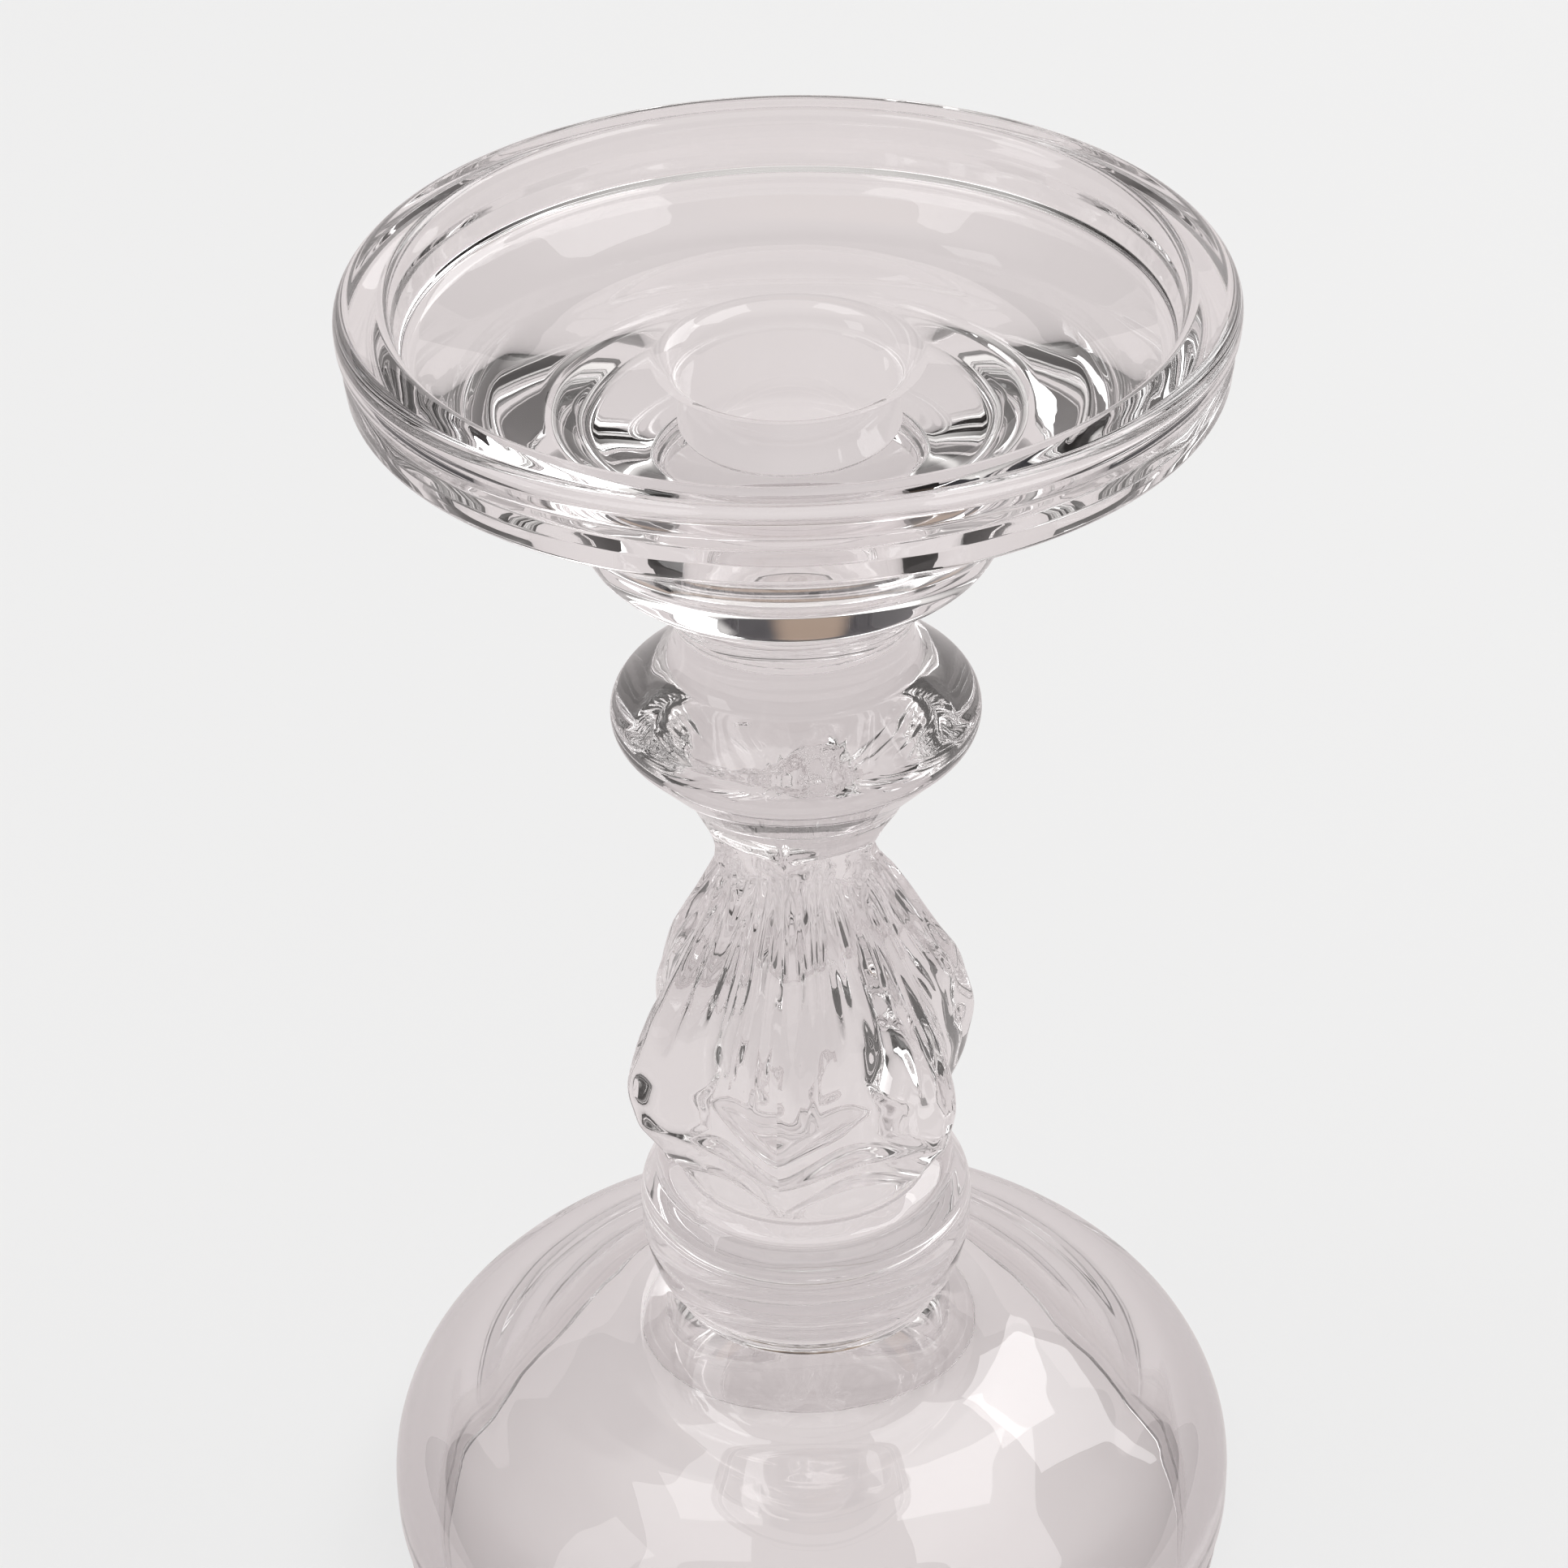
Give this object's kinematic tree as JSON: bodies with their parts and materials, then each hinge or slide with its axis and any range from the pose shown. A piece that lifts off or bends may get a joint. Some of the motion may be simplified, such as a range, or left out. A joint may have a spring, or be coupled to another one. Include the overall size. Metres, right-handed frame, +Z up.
{
  "type": "glass candlestick",
  "caption": "Clear pressed-glass candlestick: domed hollow foot, fluted baluster stem with knop, and a wide drip dish round a socket for a taper candle.",
  "frame": {"origin": "centre of the foot's ground base ring, on the surface it stands on", "axes": "+Z up along the candlestick's axis; a ridge of the six-sided baluster points along -Y"},
  "size_m": [0.108, 0.108, 0.1788],
  "materials": {
    "clear_glass": "clear fire-polished glass, faint warm tint"
  },
  "bodies": {
    "root": {"domed_foot": "clear_glass", "lower_wafer": "clear_glass", "baluster_stem": "clear_glass", "upper_wafer": "clear_glass", "candle_dish": "clear_glass"}
  },
  "joints": []
}
